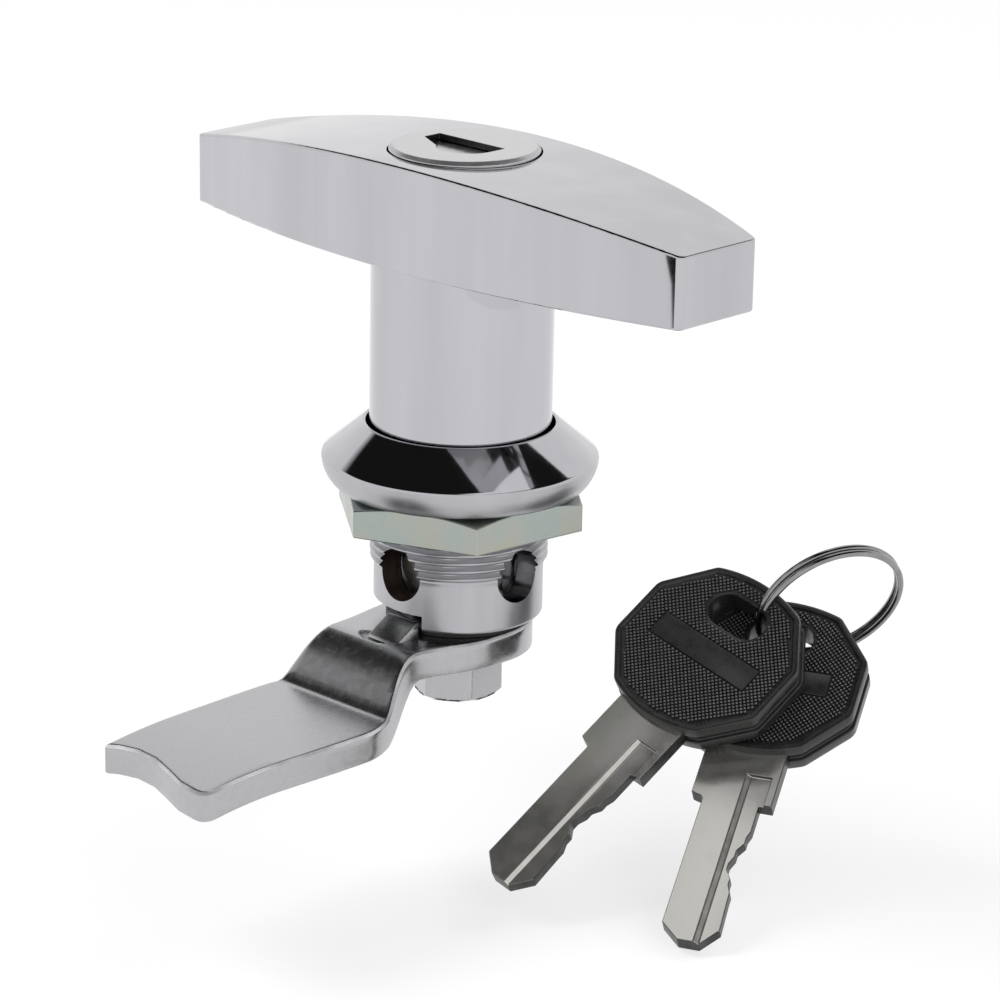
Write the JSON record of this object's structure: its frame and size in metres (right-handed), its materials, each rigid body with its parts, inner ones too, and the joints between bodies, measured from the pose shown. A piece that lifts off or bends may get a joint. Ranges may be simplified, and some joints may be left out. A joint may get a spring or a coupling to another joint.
{
  "type": "t-handle lock",
  "caption": "Keyed T-handle cam lock: a T-bar turns a cranked cam a quarter turn, and a wafer plug in the bar throws a pin into the threaded housing; two keys on a split ring.",
  "frame": {"origin": "on the lock's axis in the plane where the housing's collar seats on the door", "axes": "+Z out of the door along the handle's neck, +X along the T-bar, and the cam points to -Y"},
  "size_m": [0.0858, 0.0915, 0.0898],
  "materials": {
    "chrome_casting": "mirror chrome over zinc casting",
    "polished_steel": "polished stainless",
    "zinc_plate": "bright zinc plate with a blue-green tint",
    "nickel_plate": "bright nickel plate, softly satin",
    "zinc_die_cast": "as cast",
    "wafer_brass": "stamped",
    "turned_steel": "turned",
    "spring_steel": "drawn wire",
    "seal_rubber": "matte",
    "black_nylon": "moulded",
    "ring_steel": "dark chrome wire",
    "black_key_plastic": "moulded, finely textured",
    "key_nickel": "nickel plate"
  },
  "bodies": {
    "lock_housing": {"housing": "chrome_casting"},
    "panel_nut": {"hex_nut": "zinc_plate"},
    "handle": {"t_handle": "chrome_casting", "slide_washer": "black_nylon", "o_ring": "seal_rubber", "cam": "nickel_plate", "spring_washer": "nickel_plate", "cam_bolt": "nickel_plate"},
    "key_plug": {"plug": "zinc_die_cast", "plug_cap": "polished_steel", "plug_retainer": "wafer_brass", "wafer_springs": "spring_steel", "driver": "zinc_die_cast"},
    "throw_pin": {"locking_pin": "turned_steel"},
    "shutter": {"dust_shutter": "polished_steel"},
    "key_set_ring": {"key_ring": "ring_steel"},
    "key_one": {"key_1_head": "black_key_plastic", "key_1_blade": "key_nickel"},
    "key_two": {"key_2_head": "black_key_plastic", "key_2_blade": "key_nickel"},
    "wafer_1": {"wafer_1": "wafer_brass"},
    "wafer_2": {"wafer_2": "wafer_brass"},
    "wafer_3": {"wafer_3": "wafer_brass"},
    "wafer_4": {"wafer_4": "wafer_brass"},
    "wafer_5": {"wafer_5": "wafer_brass"}
  },
  "joints": [
    {"name": "handle_turn", "type": "hinge", "parent": "lock_housing", "child": "handle", "pos_m": [0, 0, 0], "axis": [0, 0, -1], "range_deg": [0, 90]},
    {"name": "plug_turn", "type": "hinge", "parent": "handle", "child": "key_plug", "pos_m": [0, 0, 0], "axis": [0, 0, -1], "range_deg": [0, 90]},
    {"name": "pin_throw", "type": "slide", "parent": "handle", "child": "throw_pin", "axis": [0, -1, 0], "range_m": [0, 0.00255]},
    {"name": "nut_travel", "type": "slide", "parent": "lock_housing", "child": "panel_nut", "axis": [0, 0, -1], "range_m": [0, 0.0055]},
    {"name": "shutter_swing", "type": "hinge", "parent": "key_plug", "child": "shutter", "pos_m": [0, 0.00275, 0.04062], "axis": [1, 0, 0], "range_deg": [0, 88], "stiffness_Nm_per_rad": 0.00005, "springref_deg": -20.05},
    {"name": "keys_pick_up", "type": "slide", "parent": "lock_housing", "child": "key_set_ring", "axis": [0, 0, 1], "range_m": [0, 0.03]},
    {"name": "key_one_swing", "type": "hinge", "parent": "key_set_ring", "child": "key_one", "pos_m": [0.02826, 0.02442, -0.01762], "axis": [0.2164, -0.5862, 0.7807], "range_deg": [-8, 8]},
    {"name": "key_two_swing", "type": "hinge", "parent": "key_set_ring", "child": "key_two", "pos_m": [0.02783, 0.02952, -0.02198], "axis": [0.2495, -0.5072, 0.8249], "range_deg": [-8, 8]},
    {"name": "wafer_1_slide", "type": "slide", "parent": "key_plug", "child": "wafer_1", "axis": [1, 0, 0], "range_m": [0, 0.0009]},
    {"name": "wafer_2_slide", "type": "slide", "parent": "key_plug", "child": "wafer_2", "axis": [1, 0, 0], "range_m": [0, 0.0009]},
    {"name": "wafer_3_slide", "type": "slide", "parent": "key_plug", "child": "wafer_3", "axis": [1, 0, 0], "range_m": [0, 0.0009]},
    {"name": "wafer_4_slide", "type": "slide", "parent": "key_plug", "child": "wafer_4", "axis": [1, 0, 0], "range_m": [0, 0.0009]},
    {"name": "wafer_5_slide", "type": "slide", "parent": "key_plug", "child": "wafer_5", "axis": [1, 0, 0], "range_m": [0, 0.0009]}
  ],
  "couplings": [
    {"joint": "pin_throw", "follows": "plug_turn", "m_per_rad": 0.0016207}
  ]
}
